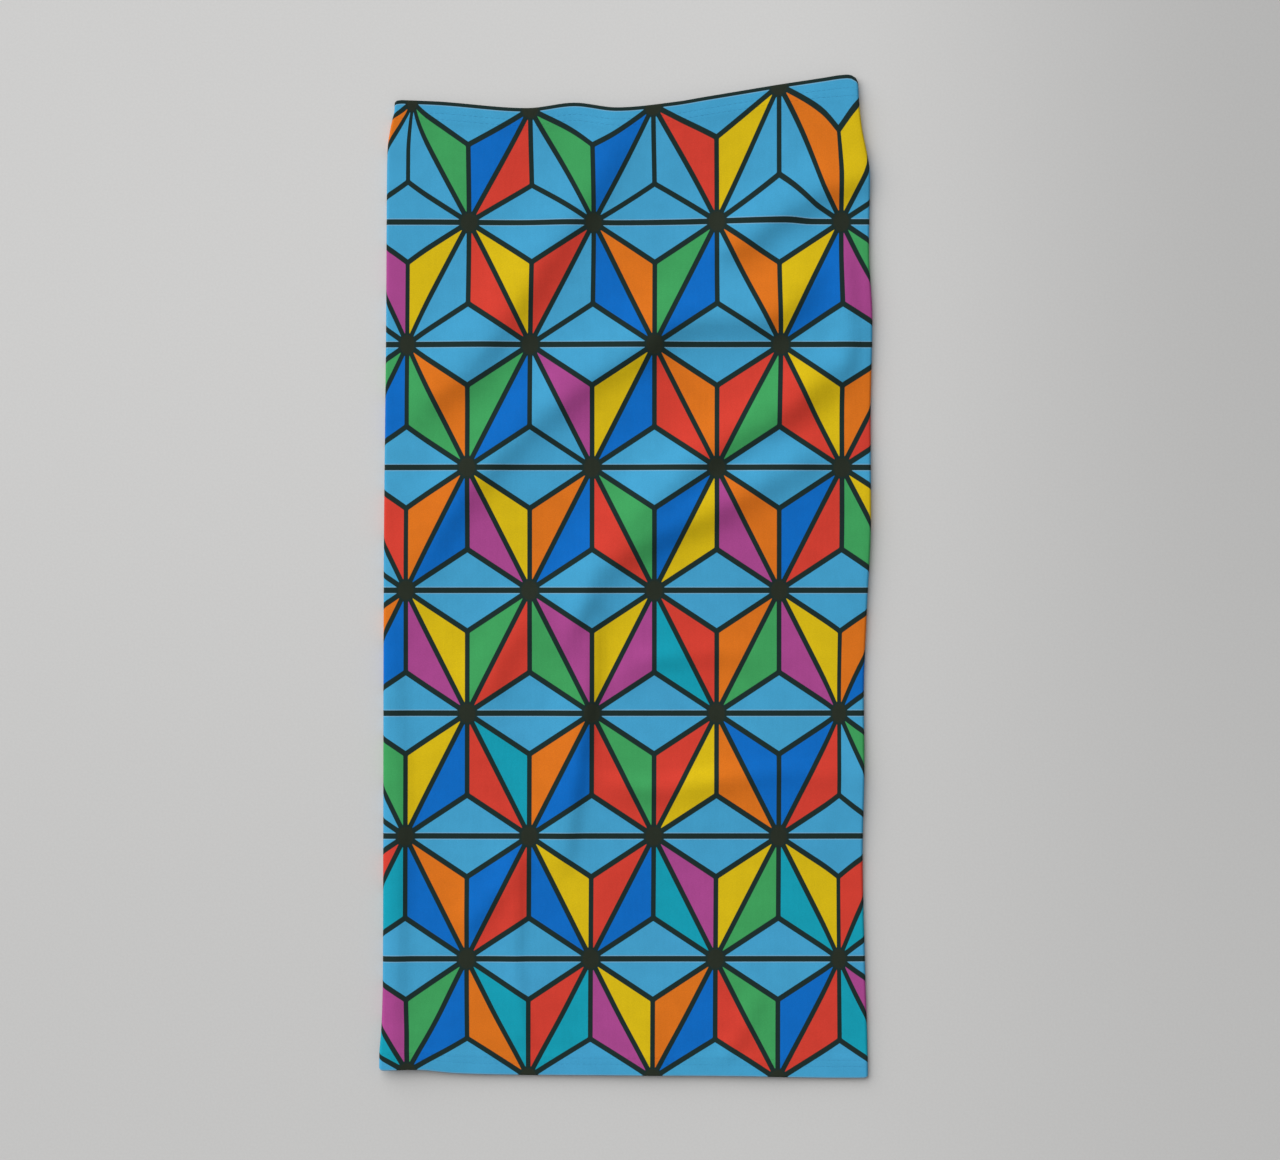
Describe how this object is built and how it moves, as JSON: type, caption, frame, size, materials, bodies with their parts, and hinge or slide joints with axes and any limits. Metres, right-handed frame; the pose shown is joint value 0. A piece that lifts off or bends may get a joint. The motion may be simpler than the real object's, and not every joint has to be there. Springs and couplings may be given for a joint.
{
  "type": "neck gaiter",
  "caption": "Tubular neck gaiter of printed stretch knit, lying flat, open at both ends, with turned and coverstitched hems and a flatlocked back seam; worn over neck and face for skiing.",
  "frame": {"origin": "centre of the flat gaiter on the plane that it lies on", "axes": "+Y along the tube towards its top end, +Z out of the printed front, +X to the right seen from the front"},
  "size_m": [0.2501, 0.5083, 0.0111],
  "materials": {
    "printed_knit": "soft brushed polyester-elastane jersey, sublimation printed on the outer face with an all-over hemp-leaf lattice in blue, red, orange, yellow, green, purple and teal between near-black lines",
    "sewing_thread": "textured polyester thread with a slight sheen, tone on tone blue",
    "label_satin": "blank white satin ribbon"
  },
  "bodies": {
    "root": {"knit_panel": "printed_knit", "top_hem_needle_thread_outer": "sewing_thread", "top_hem_needle_thread_inner": "sewing_thread", "top_hem_looper_thread": "sewing_thread", "bottom_hem_needle_thread_outer": "sewing_thread", "bottom_hem_needle_thread_inner": "sewing_thread", "bottom_hem_looper_thread": "sewing_thread", "back_seam_needle_thread_1": "sewing_thread", "back_seam_needle_thread_2": "sewing_thread", "back_seam_needle_thread_3": "sewing_thread", "back_seam_needle_thread_4": "sewing_thread", "back_seam_looper_thread": "sewing_thread", "back_seam_cover_thread": "sewing_thread", "care_label": "label_satin"}
  },
  "joints": []
}
